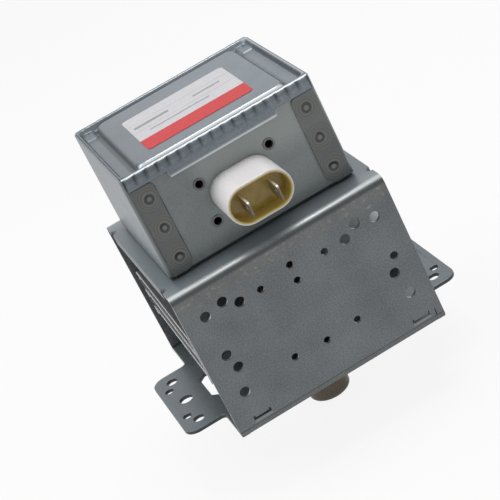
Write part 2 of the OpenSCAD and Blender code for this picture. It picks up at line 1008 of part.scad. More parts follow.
// Earth plate of the capacitor, four hollow rivets drawn through the front panel
module capacitor_flange() {
  color("#8b8f8d")
    translate([cap_x, 0, cap_z])
      difference() {
        union() {
          along_y(panel_back, flange_sheet)
            round_rect(rivet_span_x + 2 * flange_edge, rivet_span_z + 2 * flange_edge, flange_round);
          for (x = [-1, 1], z = [-1, 1])
            translate([x * rivet_span_x / 2, panel_back + fit, z * rivet_span_z / 2])
              rotate([90, 0, 0]) {
                cylinder(h = box_sheet + fit + rivet_lip, r = rivet_r);
                translate([0, 0, box_sheet + fit])
                  cylinder(h = rivet_lip, r = rivet_r + rivet_flare);
              }
        }
        along_y(box_front - cut, 4 * box_sheet + 2 * cut) {
          for (x = [-1, 1])
            translate([x * blade_span / 2, 0])
              circle(element_r + element_clear);
          for (x = [-1, 1], z = [-1, 1])
            translate([x * rivet_span_x / 2, z * rivet_span_z / 2])
              circle(rivet_eye);
        }
      }
}

// White terminal shroud in front of the box
module capacitor_shroud() {
  color("#e5e2e2")
    translate([cap_x, 0, cap_z])
      along_y(shroud_end, panel_back - shroud_end)
        difference() {
          oval(shroud_width, shroud_height);
          oval(shroud_width - 2 * shroud_wall, shroud_height - 2 * shroud_wall);
        }
}

// Insulating case inside the box
module capacitor_case() {
  color("#d9d6d2")
    translate([cap_x, 0, cap_z])
      along_y(flange_back, case_long)
        difference() {
          oval(shroud_width, shroud_height);
          oval(shroud_width - 2 * shroud_wall, shroud_height - 2 * shroud_wall);
        }
}

// Two ceramic capacitor tubes
module capacitor_elements() {
  color("#c9b79c")
    translate([cap_x, 0, cap_z])
      along_y(element_front, element_back - element_front)
        for (x = [-1, 1])
          translate([x * blade_span / 2, 0])
            difference() {
              circle(element_r);
              circle(post_r);
            }
}

// One blade drawn in Y and Z
module blade_outline() {
  w = blade_width / 2;
  c = blade_chamfer;
  polygon([[blade_root, -w], [blade_tip + c, -w], [blade_tip, c - w], [blade_tip, w - c], [blade_tip + c, w],
           [blade_root, w]]);
}

// Round post behind a blade
module post() {
  translate([0, post_back, 0])
    rotate([90, 0, 0])
      cylinder(h = post_back - blade_root + post_lap, r = post_r);
}

// Blades with their round posts through the capacitor
module terminal_blades() {
  color("#b7b3a6")
    for (x = [-1, 1])
      translate([cap_x + x * blade_span / 2, 0, cap_z]) {
        along_x(blade_sheet)
          difference() {
            blade_outline();
            translate([blade_tip + blade_eye_in, 0])
              circle(d = blade_eye);
          }
        post();
      }
}

// Amber resin that seals both ends of the capacitor
module sealing_resin() {
  w = shroud_width - 2 * shroud_wall;
  h = shroud_height - 2 * shroud_wall;
  color("#7d6a2c")
    translate([cap_x, 0, cap_z])
      difference() {
        union() {
          along_y(resin_front, panel_back - resin_front)
            oval(w, h);
          along_y(panel_back - fit, flange_sheet + 2 * fit)
            for (x = [-1, 1])
              translate([x * blade_span / 2, 0])
                circle(element_r + element_clear);
          along_y(flange_back, case_long)
            oval(w, h);
        }
        along_y(element_front, element_back - element_front)
          for (x = [-1, 1])
            translate([x * blade_span / 2, 0])
              circle(element_r);
        for (x = [-1, 1])
          translate([x * blade_span / 2, 0, 0]) {
            translate([-blade_sheet / 2, resin_front - cut, -blade_width / 2])
              cube([blade_sheet, blade_sunk + cut, blade_width]);
            post();
          }
      }
}

// Choke winding along Y with its two tails, drawn toward +X; one tail meets the post at x
module choke_coil(x) {
  y = choke_front;
  e = choke_x - choke_r;
  r = choke_wire / 2;
  color("#9c5a34") {
    translate([choke_x, y, cap_z])
      rotate([-90, 0, 0])
        rotate([0, 0, 180])
          linear_extrude(choke_long, twist = -360 * choke_turns, slices = 12 * choke_turns, $fn = 6)
            translate([choke_r, 0])
              circle(r);
    difference() {
      bar([e, y + choke_start, cap_z], [x, post_back - tail_in, cap_z], r);
      translate([x, 0, cap_z])
        post();
    }
    bar([e, y + choke_long - choke_start, cap_z], [terminal_reach + r, 0, stem_top + terminal_weld], r);
  }
}

module choke_coil_left() {
  mirror([1, 0, 0])
    choke_coil(blade_span / 2 - cap_x);
}

module choke_coil_right() {
  choke_coil(blade_span / 2 + cap_x);
}

// Ferrite rod inside a choke
module core(x) {
  color("#3a3c3f")
    translate([x, choke_front + core_inset, cap_z])
      rotate([-90, 0, 0])
        cylinder(h = choke_long - 2 * core_inset, d = choke_core);
}

module choke_core_left() {
  core(-choke_x);
}

module choke_core_right() {
  core(choke_x);
}

yoke();
mounting_plate();
magnet_upper();
magnet_lower();
fin_1();
fin_2();
fin_3();
fin_4();
fin_5();
anode_cylinder();
anode_vanes();
anode_straps();
pole_piece_upper();
pole_piece_lower();
filament();
end_shield_upper();
end_shield_lower();
centre_lead();
side_lead();
cathode_cup();
stem_ceramic();
stem_terminals();
output_cup();
output_ceramic();
exhaust_tube();
antenna_lead();
antenna_cap();
gasket_collar();
rf_gasket();
filter_box();
filter_box_lid();
lid_label();
capacitor_flange();
capacitor_shroud();
capacitor_case();
capacitor_elements();
sealing_resin();
terminal_blades();
choke_coil_left();
choke_coil_right();
choke_core_left();
choke_core_right();
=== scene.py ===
import math

import bmesh
import bpy
from mathutils import Matrix, Vector


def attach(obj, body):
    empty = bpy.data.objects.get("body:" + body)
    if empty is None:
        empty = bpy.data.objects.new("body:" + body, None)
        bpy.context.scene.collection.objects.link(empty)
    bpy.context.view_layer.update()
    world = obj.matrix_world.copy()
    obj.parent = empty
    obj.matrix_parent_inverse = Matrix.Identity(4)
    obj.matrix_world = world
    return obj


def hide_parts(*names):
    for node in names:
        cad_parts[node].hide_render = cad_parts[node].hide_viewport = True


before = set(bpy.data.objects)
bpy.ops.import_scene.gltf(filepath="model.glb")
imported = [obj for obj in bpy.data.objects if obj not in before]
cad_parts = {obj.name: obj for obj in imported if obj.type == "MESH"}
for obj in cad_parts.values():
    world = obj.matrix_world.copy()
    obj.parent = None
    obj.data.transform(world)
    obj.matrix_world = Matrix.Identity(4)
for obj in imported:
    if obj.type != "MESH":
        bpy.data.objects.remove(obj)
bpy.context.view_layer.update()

# Vacuum tube of the magnetron: copper anode, vanes, straps, exhaust tube and antenna strip.
# Oxygen-free copper, turned, pressed and brazed in hydrogen, so it is clean, pink and satin.
# The choke windings and stem terminals in the filter box are bare copper as well.
MM = 0.001
CLOUD_SHARE = 0.3
TONE_RANGE = (0.36, 0.64)
GLOSS_RANGE = (0.3, 0.7)


def colour(code):
    """Linear colour for a written sRGB one."""
    parts = [int(code[i:i + 2], 16) / 255 for i in (1, 3, 5)]
    return (*[c / 12.92 if c <= 0.04045 else ((c + 0.055) / 1.055) ** 2.4 for c in parts], 1)


def add(tree, kind, inputs=None, **settings):
    """Add a node; an input takes a value, an output, or a node that stands for its first output."""
    made = tree.nodes.new(kind)
    for key, value in settings.items():
        setattr(made, key, value)
    for key, value in (inputs or {}).items():
        if isinstance(value, bpy.types.Node):
            value = value.outputs[0]
        if isinstance(value, bpy.types.NodeSocket):
            tree.links.new(value, made.inputs[key])
        else:
            made.inputs[key].default_value = value
    return made


def surface(name, deep, pale, grain, cloud, rough, bump, metallic=0.0):
    """Surface that wanders between two colours in grains and clouds, all lengths in millimetres."""
    material = bpy.data.materials.new(name)
    material.use_nodes = True
    tree = material.node_tree
    shader = tree.nodes["Principled BSDF"]
    shader.inputs["Metallic"].default_value = metallic
    place = add(tree, "ShaderNodeTexCoord").outputs["Object"]
    fine = add(tree, "ShaderNodeTexNoise", {"Vector": place, "Scale": 1 / (grain * MM), "Detail": 4.0})
    wide = add(tree, "ShaderNodeTexNoise", {"Vector": place, "Scale": 1 / (cloud * MM), "Detail": 3.0})
    tone = add(tree, "ShaderNodeMix", {"Factor": CLOUD_SHARE, "A": fine, "B": wide})
    shade = add(tree, "ShaderNodeMapRange", {"Value": tone, "From Min": TONE_RANGE[0],
                                             "From Max": TONE_RANGE[1]})
    mix = add(tree, "ShaderNodeMix", {"Factor": shade, "A": colour(deep), "B": colour(pale)},
              data_type="RGBA")
    tree.links.new(mix.outputs["Result"], shader.inputs["Base Color"])
    gloss = add(tree, "ShaderNodeMapRange", {"Value": fine, "From Min": GLOSS_RANGE[0],
                                             "From Max": GLOSS_RANGE[1],
                                             "To Min": rough[0], "To Max": rough[1]})
    tree.links.new(gloss.outputs[0], shader.inputs["Roughness"])
    relief = add(tree, "ShaderNodeBump", {"Height": fine, "Distance": bump * MM, "Strength": 0.6})
    tree.links.new(relief.outputs["Normal"], shader.inputs["Normal"])
    return material


def dress(material, *names):
    """Give CAD nodes one material."""
    for name in names:
        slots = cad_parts[name].data.materials
        slots.clear()
        slots.append(material)


copper = surface("oxygen_free_copper", "#a8694a", "#c98f6c", grain=0.4, cloud=9, rough=(0.28, 0.42),
                 bump=0.01, metallic=1.0)
dress(copper, "anode_cylinder", "anode_vanes", "anode_straps", "exhaust_tube", "antenna_lead",
      "stem_terminals", "choke_coil_left", "choke_coil_right")

# Pole pieces, cathode and sealing cups inside the tube.
# Soft iron pressings, tungsten wire with molybdenum shields, and drawn nickel-plated steel cups.
# Brazed together in one furnace run, so the steel keeps a dull even grey.
pole_iron = surface("plated_soft_iron", "#75797d", "#8b8f93", grain=0.5, cloud=8, rough=(0.4, 0.55),
                    bump=0.01, metallic=1.0)
dress(pole_iron, "pole_piece_upper", "pole_piece_lower")
tungsten = surface("tungsten_wire", "#4e4c4b", "#6c6966", grain=0.2, cloud=3, rough=(0.4, 0.6),
                   bump=0.01, metallic=1.0)
dress(tungsten, "filament", "end_shield_upper", "end_shield_lower", "centre_lead", "side_lead")
cup_steel = surface("nickel_plated_steel", "#8f9295", "#a9acae", grain=0.3, cloud=10, rough=(0.25, 0.38),
                    bump=0.006, metallic=1.0)
dress(cup_steel, "cathode_cup", "output_cup", "gasket_collar")

# Ceramic stem, antenna tube and capacitor elements.
# Fired alumina, ground at the ends and metallised, with a faint pink-grey body.
# Matt and slightly grainy.
alumina = surface("fired_alumina", "#d8cbc2", "#eae1da", grain=0.3, cloud=6, rough=(0.55, 0.7), bump=0.01)
dress(alumina, "stem_ceramic", "output_ceramic", "capacitor_elements")

# Antenna cap below the plate.
# Deep-drawn stainless cap, tarnished brown-grey by handling and heat.
# It is pressed over the exhaust tube.
cap_metal = surface("tarnished_drawn_cap", "#4c453c", "#665d51", grain=0.5, cloud=5, rough=(0.32, 0.5),
                    bump=0.012, metallic=0.6)
dress(cap_metal, "antenna_cap")

# Gasket round the antenna.
# Knitted tinned wire, pressed to a ring that seals against the waveguide flange.
# The knit is drawn with loops of 0.9 mm, coarser than real wire, so that it shows.
KNIT = 0.9
KNIT_DEEP = 0.25
gasket_wire = surface("knitted_tinned_wire", "#7b7870", "#b5b1a6", grain=0.5, cloud=4, rough=(0.35, 0.5),
                      bump=0.02, metallic=0.9)
tree = gasket_wire.node_tree
place = add(tree, "ShaderNodeTexCoord").outputs["Object"]
loops = add(tree, "ShaderNodeTexVoronoi", {"Vector": place, "Scale": 1 / (KNIT * MM)}, feature="F1")
knit = add(tree, "ShaderNodeBump", {"Height": loops, "Distance": KNIT_DEEP * MM, "Strength": 1.0},
           invert=True)
tree.links.new(knit.outputs["Normal"], tree.nodes["Principled BSDF"].inputs["Normal"])
dress(gasket_wire, "rf_gasket")

# Ring magnets and choke cores.
# Sintered strontium ferrite, ground flat on both faces, near black with a fine grit.
# The magnets are held between the plates by their own pull.
ferrite = surface("sintered_ferrite", "#2c2f32", "#3f4347", grain=0.6, cloud=12, rough=(0.55, 0.7), bump=0.03)
dress(ferrite, "magnet_upper", "magnet_lower", "choke_core_left", "choke_core_right")

# Five cooling fins pressed on the anode.
# Aluminium sheet, blanked and bent; its faces are a dull satin grey, kept dark as painted shade of the yoke's
# inside.
# Painted highlights lie on the side edges of the first, third and fifth fin, on the left corners of the lower
# four fins' front tabs and on the right half of the upper fin.
FIN_SIDE = 44.8
FIN_TURN = math.radians(0.9)
FIN_TAB = -38.5
FIN_CORNER = -43.0
HIGHLIGHT_SPAN = (5.0, 25.0)
FIN_FINISHES = (
    ("dull_edged_aluminium", "#6c7072", 1.0, 0.0, ("fin_2", "fin_4")),
    ("highlight_edged_aluminium", "#f4f5f6", 1.0, 0.0, ("fin_1", "fin_3")),
    ("half_highlit_aluminium", "#f4f5f6", 0.0, 1.0, ("fin_5",)))


def overlay(material, factor, tint):
    """Lay a written colour, or the colour of a node, over a surface where the factor is above zero."""
    tree = material.node_tree
    socket = tree.nodes["Principled BSDF"].inputs["Base Color"]
    under = socket.links[0].from_socket
    over = colour(tint) if isinstance(tint, str) else tint
    mix = add(tree, "ShaderNodeMix", {"Factor": factor, "A": under, "B": over}, data_type="RGBA")
    tree.links.new(mix.outputs["Result"], socket)


for name, edge_tint, tab_share, highlight_share, fins in FIN_FINISHES:
    fin_metal = surface(name, "#54585b", "#6f7376", grain=0.5, cloud=14, rough=(0.36, 0.5), bump=0.01,
                        metallic=0.15)
    tree = fin_metal.node_tree
    place = add(tree, "ShaderNodeTexCoord").outputs["Object"]
    axes = add(tree, "ShaderNodeSeparateXYZ", {"Vector": place}).outputs
    # A painted highlight covers the right half of the upper fin.
    fin_highlight = add(tree, "ShaderNodeMapRange", {"Value": axes["X"], "From Min": HIGHLIGHT_SPAN[0] * MM,
                                             "From Max": HIGHLIGHT_SPAN[1] * MM, "To Max": highlight_share})
    overlay(fin_metal, fin_highlight, "#e4e8ea")
    # The side edges get a painted highlight on the first, third and fifth fin, plain grey on the others.
    turned = add(tree, "ShaderNodeMath", {0: axes["Y"], 1: -math.tan(FIN_TURN), 2: axes["X"]},
                 operation="MULTIPLY_ADD")
    side = add(tree, "ShaderNodeMath", {0: turned}, operation="ABSOLUTE")
    sheared = add(tree, "ShaderNodeMapRange", {"Value": side, "From Min": FIN_SIDE * MM,
                                               "From Max": (FIN_SIDE + 0.1) * MM})
    overlay(fin_metal, sheared, edge_tint)
    # The left corners of the front tabs get a painted highlight on the lower four fins.
    tab = add(tree, "ShaderNodeMapRange", {"Value": axes["Y"], "From Min": FIN_TAB * MM,
                                           "From Max": (FIN_TAB - 0.4) * MM, "To Max": tab_share})
    painted_light = add(tree, "ShaderNodeMath", {0: axes["X"], 1: FIN_CORNER * MM}, operation="LESS_THAN")
    tab = add(tree, "ShaderNodeMath", {0: tab, 1: painted_light}, operation="MULTIPLY")
    overlay(fin_metal, tab, "#f8f9fa")
    dress(fin_metal, *fins)

# Yoke: one electro-galvanised steel sheet folded over the top and down the front and back, dull grey and
# speckled. The top plate is painted lighter and bluer, with a painted highlight towards the fold. The fold's
# crown carries a painted highlight, dimmed in the middle by a painted shadow of the shroud; below it lie a
# painted dark band of shade and then a ragged rubbed band. Painted highlights lie on the punched hole walls,
# the side edges of the walls and the lips below the lanced stakes, and painted shade on the step of the
# coined foot.
YOKE_TOP = 65.0
YOKE_SHEET = 1.6
WALL_FACE = 48.0
BEND_R = 3.0
BEND_LOW = YOKE_TOP - BEND_R
BEND_OUT = WALL_FACE - BEND_R
RUB_TALL = 5.0
RUB_GRAIN = 2.5
RUB_TEAR = 8.0
RUB_EDGE = BEND_LOW - RUB_TALL + RUB_TEAR / 2
FLECK = (2.2, 6.0, 1.6)
BROW_DEEP = 12.0
SHROUD_SHADOW_X = -4.0
SHROUD_SHADOW_SPAN = (2.0, 14.0)
COIN_TALL = 2.0
COIN_LINE = 0.22
STAKE_X = 35.8
STAKE_SHIFT = 0.8
STAKE_WIDE = 7.6
STAKE_Z = 3.9
LIP_DROP = 0.75
LIP_HALF = 0.35
HOLES_Z = 34.0
HOLES_REACH = 27.0
PUNCH_HALF = 0.5
yoke_zinc = surface("galvanised_yoke_sheet", "#5e6366", "#7e8386", grain=0.6, cloud=16, rough=(0.34, 0.46),
                    bump=0.02, metallic=0.45)
tree = yoke_zinc.node_tree
place = add(tree, "ShaderNodeTexCoord").outputs["Object"]
axes = add(tree, "ShaderNodeSeparateXYZ", {"Vector": place}).outputs
height = axes["Z"]
ragged = add(tree, "ShaderNodeTexNoise", {"Vector": place, "Scale": 1 / (RUB_GRAIN * MM), "Detail": 4.0})
torn = add(tree, "ShaderNodeMath", {0: ragged, 1: RUB_TEAR * MM, 2: height}, operation="MULTIPLY_ADD")
rise = add(tree, "ShaderNodeMapRange", {"Value": torn, "From Min": (RUB_EDGE - 0.4) * MM,
                                        "From Max": (RUB_EDGE + 0.6) * MM})
stop = add(tree, "ShaderNodeMapRange", {"Value": height, "From Min": (BEND_LOW + 0.4) * MM,
                                        "From Max": (BEND_LOW - 0.4) * MM})
band = add(tree, "ShaderNodeMath", {0: rise, 1: stop}, operation="MULTIPLY")
warm = add(tree, "ShaderNodeMath", {0: band, 1: 0.2}, operation="MULTIPLY")
overlay(yoke_zinc, warm, "#7c766c")
streaks = add(tree, "ShaderNodeMapping", {"Vector": place, "Scale": [1 / (size * MM) for size in FLECK]})
flecks = add(tree, "ShaderNodeTexNoise", {"Vector": streaks, "Scale": 1.0, "Detail": 3.0})
marks = add(tree, "ShaderNodeMapRange", {"Value": flecks, "From Min": 0.55, "From Max": 0.7, "To Max": 0.7})
fleck = add(tree, "ShaderNodeMath", {0: marks, 1: band}, operation="MULTIPLY")
overlay(yoke_zinc, fleck, "#97958f")
# A painted dark band of shade lies just below the fold.
shade_low = add(tree, "ShaderNodeMapRange", {"Value": height, "From Min": (BEND_LOW - 0.4) * MM,
                                             "From Max": (BEND_LOW + 0.8) * MM, "To Max": 0.8})
shade_top = add(tree, "ShaderNodeMapRange", {"Value": height, "From Min": (BEND_LOW + 2.2) * MM,
                                             "From Max": (BEND_LOW + 1.4) * MM})
shade = add(tree, "ShaderNodeMath", {0: shade_low, 1: shade_top}, operation="MULTIPLY")
overlay(yoke_zinc, shade, "#3d3f3f")
# The top plate is painted lighter and bluer, as light from above falls on it.
roof = add(tree, "ShaderNodeMapRange", {"Value": height, "From Min": (YOKE_TOP - 0.6) * MM,
                                        "From Max": (YOKE_TOP - 0.1) * MM, "To Max": 0.8})
overlay(yoke_zinc, roof, "#7b858a")
# A painted highlight grows on the top plate towards the fold.
depth = add(tree, "ShaderNodeMath", {0: axes["Y"]}, operation="ABSOLUTE")
brow = add(tree, "ShaderNodeMapRange", {"Value": depth, "From Min": (WALL_FACE - BROW_DEEP) * MM,
                                        "From Max": BEND_OUT * MM, "To Max": 0.6})
brow = add(tree, "ShaderNodeMath", {0: brow, 1: roof}, operation="MULTIPLY")
# A painted shadow of the shroud dims the highlights in the middle of the fold.
beside = add(tree, "ShaderNodeMath", {0: axes["X"], 1: SHROUD_SHADOW_X * MM}, operation="SUBTRACT")
beside = add(tree, "ShaderNodeMath", {0: beside}, operation="ABSOLUTE")
outside_shroud_shadow = add(tree, "ShaderNodeMapRange", {"Value": beside, "From Min": SHROUD_SHADOW_SPAN[0] * MM,
                                          "From Max": SHROUD_SHADOW_SPAN[1] * MM, "To Min": 0.1},
             interpolation_type="SMOOTHSTEP")
brow = add(tree, "ShaderNodeMath", {0: brow, 1: outside_shroud_shadow}, operation="MULTIPLY")
overlay(yoke_zinc, brow, "#a2aaae")
# The crown of the fold carries a painted highlight.
crown_low = add(tree, "ShaderNodeMapRange", {"Value": height, "From Min": (YOKE_TOP - 1.15) * MM,
                                             "From Max": (YOKE_TOP - 0.5) * MM, "To Max": 0.7})
crown_out = add(tree, "ShaderNodeMapRange", {"Value": depth, "From Min": (BEND_OUT - 0.6) * MM,
                                             "From Max": (BEND_OUT + 0.6) * MM})
crown = add(tree, "ShaderNodeMath", {0: crown_low, 1: crown_out}, operation="MULTIPLY")
crown = add(tree, "ShaderNodeMath", {0: crown, 1: outside_shroud_shadow}, operation="MULTIPLY")
overlay(yoke_zinc, crown, "#cfd3d3")
coin = add(tree, "ShaderNodeMapRange", {"Value": height, "From Min": (COIN_TALL + 0.1) * MM,
                                        "From Max": (COIN_TALL - 0.1) * MM, "To Max": 0.3})
overlay(yoke_zinc, coin, "#67655e")
# A thin line of painted shade marks the step of the coined foot.
coin_step_shade = add(tree, "ShaderNodeMath", {0: height, 1: COIN_TALL * MM, 2: COIN_LINE * MM}, operation="COMPARE")
coin_step_shade = add(tree, "ShaderNodeMath", {0: coin_step_shade, 1: 0.65}, operation="MULTIPLY")
overlay(yoke_zinc, coin_step_shade, "#2c2d2d")
# A painted highlight lies on the lip below each lanced stake.
off = add(tree, "ShaderNodeMath", {0: axes["X"], 1: STAKE_SHIFT * MM}, operation="SUBTRACT")
off = add(tree, "ShaderNodeMath", {0: off}, operation="ABSOLUTE")
off = add(tree, "ShaderNodeMath", {0: off, 1: STAKE_X * MM, 2: STAKE_WIDE / 2 * MM}, operation="COMPARE")
lip = add(tree, "ShaderNodeMath", {0: height, 1: (STAKE_Z - LIP_DROP) * MM, 2: LIP_HALF * MM},
          operation="COMPARE")
lip = add(tree, "ShaderNodeMath", {0: lip, 1: off}, operation="MULTIPLY")
lip = add(tree, "ShaderNodeMath", {0: lip, 1: 0.5}, operation="MULTIPLY")
overlay(yoke_zinc, lip, "#a3a6a4")
# The punched hole walls and the side edges of the walls carry a painted highlight.
within = add(tree, "ShaderNodeMath", {0: depth, 1: (WALL_FACE - YOKE_SHEET / 2) * MM, 2: PUNCH_HALF * MM},
             operation="COMPARE")
below = add(tree, "ShaderNodeMath", {0: height, 1: HOLES_Z * MM, 2: HOLES_REACH * MM}, operation="COMPARE")
wall_edge_highlight = add(tree, "ShaderNodeMath", {0: within, 1: below}, operation="MULTIPLY")
overlay(yoke_zinc, wall_edge_highlight, "#c3c8ca")
dress(yoke_zinc, "yoke")


def soften(width, *names):
    """Break the sharp edges of a solid, as blanking, folding or a mould does."""
    for name in names:
        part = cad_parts[name]
        weld = part.modifiers.new("weld", "WELD")
        weld.merge_threshold = 0.002 * MM
        edge = part.modifiers.new("edge", "BEVEL")
        edge.width = width * MM
        edge.segments = 2
        edge.limit_method = "ANGLE"
        edge.angle_limit = math.radians(40)
        edge.profile = 0.5


soften(0.2, "yoke")

# Mounting plate with its two ears.
# The same galvanised sheet, blanked flat and held by lanced stakes of the yoke's walls.
# Satin, a little bluer than the yoke; its cut edges and hole walls are darkened with painted shade.
PLATE_SHEET = 1.6
SHEAR_HALF = 0.6
plate_zinc = surface("galvanised_plate_sheet", "#666e73", "#7c8489", grain=0.6, cloud=14, rough=(0.3, 0.42),
                     bump=0.012, metallic=0.5)
tree = plate_zinc.node_tree
place = add(tree, "ShaderNodeTexCoord").outputs["Object"]
axes = add(tree, "ShaderNodeSeparateXYZ", {"Vector": place}).outputs
# The cut edges and hole walls get painted shade.
within = add(tree, "ShaderNodeMath", {0: axes["Z"], 1: PLATE_SHEET / 2 * MM, 2: SHEAR_HALF * MM},
             operation="COMPARE")
sheared = add(tree, "ShaderNodeMath", {0: within, 1: 0.8}, operation="MULTIPLY")
overlay(plate_zinc, sheared, "#2b2f32")
dress(plate_zinc, "mounting_plate")
soften(0.2, "mounting_plate")

# Filter box over the cathode stem.
# Thin galvanised sheet folded to a tray; the side flaps are spot-welded over both end panels, and each weld
# leaves a dark nugget in brown rings of heat. Both panels get painted shade against the sides and a painted
# sheen high up to the right; painted shadow lines the left flap's inner edge and the foot of the panels.
BOX_Y = 1.4
BOX_FACE = 36.3
SHEEN_X = (-18.0, -11.0)
SHEEN_Z = (84.0, 94.0)
FLAP_EDGE = 29.3
LAP_HALF = 0.35
FOOT_SPAN = (1.6, 1.3)
WELD_SHIFT = 0.3
WELD_X = 33.7
WELD_PITCH = 12.95
WELD_LOW = 72.6
WELD_REACH = 7.0
WELD_FULL = 2.3
WELD_WANDER = 1.2
WANDER_GRAIN = 4.0
DENT_SPAN = (0.9, 2.0)
DENT_DEEP = 0.5
WELD_RINGS = ((0.0, "#777a77"), (0.8, "#6f726e"), (1.15, "#3b3d3c"), (1.9, "#424443"), (2.3, "#6e7270"),
              (2.8, "#6b706d"), (3.2, "#59524a"), (3.7, "#737977"), (4.2, "#5b544c"), (4.8, "#707674"),
              (5.4, "#5d574f"), (6.0, "#686d6b"), (7.0, "#646967"))
box_zinc = surface("galvanised_box_sheet", "#6f777c", "#8f979c", grain=0.6, cloud=12, rough=(0.32, 0.44),
                   bump=0.015, metallic=0.45)
tree = box_zinc.node_tree
place = add(tree, "ShaderNodeTexCoord").outputs["Object"]
axes = add(tree, "ShaderNodeSeparateXYZ", {"Vector": place}).outputs
centred = add(tree, "ShaderNodeMath", {0: axes["X"], 1: WELD_SHIFT * MM}, operation="SUBTRACT")
side = add(tree, "ShaderNodeMath", {0: centred}, operation="ABSOLUTE")
away = add(tree, "ShaderNodeMath", {0: axes["Y"], 1: BOX_Y * MM}, operation="SUBTRACT")
depth = add(tree, "ShaderNodeMath", {0: away}, operation="ABSOLUTE")
panel = add(tree, "ShaderNodeMath", {0: depth, 1: (BOX_FACE - 1) * MM}, operation="GREATER_THAN")
face = add(tree, "ShaderNodeMath", {0: depth, 1: BOX_FACE * MM}, operation="GREATER_THAN")
flap = add(tree, "ShaderNodeMath", {0: side, 1: (FLAP_EDGE - 1) * MM}, operation="GREATER_THAN")
flap = add(tree, "ShaderNodeMath", {0: flap, 1: face}, operation="MULTIPLY")
# Both end panels get painted shade against the sides.
panel_shade = add(tree, "ShaderNodeMath", {0: panel, 1: 0.5}, operation="MULTIPLY")
overlay(box_zinc, panel_shade, "#70736f")
# A painted sheen brightens both panels high up and to the right.
high = add(tree, "ShaderNodeMapRange", {"Value": axes["Z"], "From Min": SHEEN_Z[0] * MM,
                                        "From Max": SHEEN_Z[1] * MM, "To Max": 0.45})
right = add(tree, "ShaderNodeMapRange", {"Value": axes["X"], "From Min": SHEEN_X[0] * MM,
                                         "From Max": SHEEN_X[1] * MM})
sheen = add(tree, "ShaderNodeMath", {0: high, 1: right}, operation="MULTIPLY")
sheen = add(tree, "ShaderNodeMath", {0: sheen, 1: panel}, operation="MULTIPLY")
overlay(box_zinc, sheen, "#a9afac")
smoke = add(tree, "ShaderNodeMath", {0: flap, 1: 0.6}, operation="MULTIPLY")
overlay(box_zinc, smoke, "#4c4f4d")
# A painted shadow lines the left flap's inner edge.
lap_shadow = add(tree, "ShaderNodeMath", {0: axes["X"], 1: -FLAP_EDGE * MM, 2: LAP_HALF * MM}, operation="COMPARE")
lap_shadow = add(tree, "ShaderNodeMath", {0: lap_shadow, 1: face}, operation="MULTIPLY")
overlay(box_zinc, lap_shadow, "#2f3130")
# A painted shadow blackens the foot of the panels just above the yoke.
foot = add(tree, "ShaderNodeMapRange", {"Value": axes["Z"], "From Min": (YOKE_TOP + FOOT_SPAN[0]) * MM,
                                        "From Max": (YOKE_TOP + FOOT_SPAN[1]) * MM, "To Max": 0.9})
foot = add(tree, "ShaderNodeMath", {0: foot, 1: panel}, operation="MULTIPLY")
overlay(box_zinc, foot, "#0e0f10")
across = add(tree, "ShaderNodeMath", {0: side, 1: WELD_X * MM}, operation="SUBTRACT")
start = add(tree, "ShaderNodeMath", {0: axes["Z"], 1: (WELD_LOW - WELD_PITCH / 2) * MM}, operation="SUBTRACT")
row = add(tree, "ShaderNodeMath", {0: start, 1: WELD_PITCH * MM}, operation="FLOORED_MODULO")
along = add(tree, "ShaderNodeMath", {0: row, 1: WELD_PITCH / 2 * MM}, operation="SUBTRACT")
flat = add(tree, "ShaderNodeCombineXYZ", {"X": across, "Y": along})
reach = add(tree, "ShaderNodeVectorMath", {0: flat}, operation="LENGTH").outputs["Value"]
wander = add(tree, "ShaderNodeTexNoise", {"Vector": place, "Scale": 1 / (WANDER_GRAIN * MM), "Detail": 1.0})
shift = add(tree, "ShaderNodeMath", {0: wander, 1: WELD_WANDER * MM, 2: -WELD_WANDER / 2 * MM},
            operation="MULTIPLY_ADD")
radius = add(tree, "ShaderNodeMath", {0: reach, 1: shift}, operation="ADD")
share = add(tree, "ShaderNodeMath", {0: radius, 1: WELD_REACH * MM}, operation="DIVIDE")
rings = add(tree, "ShaderNodeValToRGB", {"Fac": share})
for spot, tint in WELD_RINGS[1:-1]:
    rings.color_ramp.elements.new(spot / WELD_REACH).color = colour(tint)
rings.color_ramp.elements[0].color = colour(WELD_RINGS[0][1])
rings.color_ramp.elements[-1].color = colour(WELD_RINGS[-1][1])
fade = add(tree, "ShaderNodeMapRange", {"Value": radius, "From Min": WELD_REACH * MM,
                                        "From Max": WELD_FULL * MM, "To Max": 0.85})
fade = add(tree, "ShaderNodeMath", {0: fade, 1: flap}, operation="MULTIPLY")
overlay(box_zinc, fade, rings)
dent = add(tree, "ShaderNodeMapRange", {"Value": radius, "From Min": DENT_SPAN[0] * MM,
                                        "From Max": DENT_SPAN[1] * MM})
dent = add(tree, "ShaderNodeMath", {0: dent, 1: flap}, operation="MULTIPLY")
normal = tree.nodes["Principled BSDF"].inputs["Normal"]
pressed = add(tree, "ShaderNodeBump", {"Height": dent, "Distance": DENT_DEEP * MM, "Strength": 1.0,
                                       "Normal": normal.links[0].from_socket})
tree.links.new(pressed.outputs["Normal"], normal)
dress(box_zinc, "filter_box")
soften(0.15, "filter_box")

# Capacitor of the filter: earth plate with four hollow rivets drawn through the front panel.
# Galvanised sheet; the rivet lips are rolled over the panel.
# The lips are as dull as the panel.
flange_zinc = surface("galvanised_rivet_plate", "#5b5f5d", "#757977", grain=0.4, cloud=6, rough=(0.34, 0.46),
                      bump=0.01, metallic=0.6)
dress(flange_zinc, "capacitor_flange")
soften(0.18, "capacitor_flange")

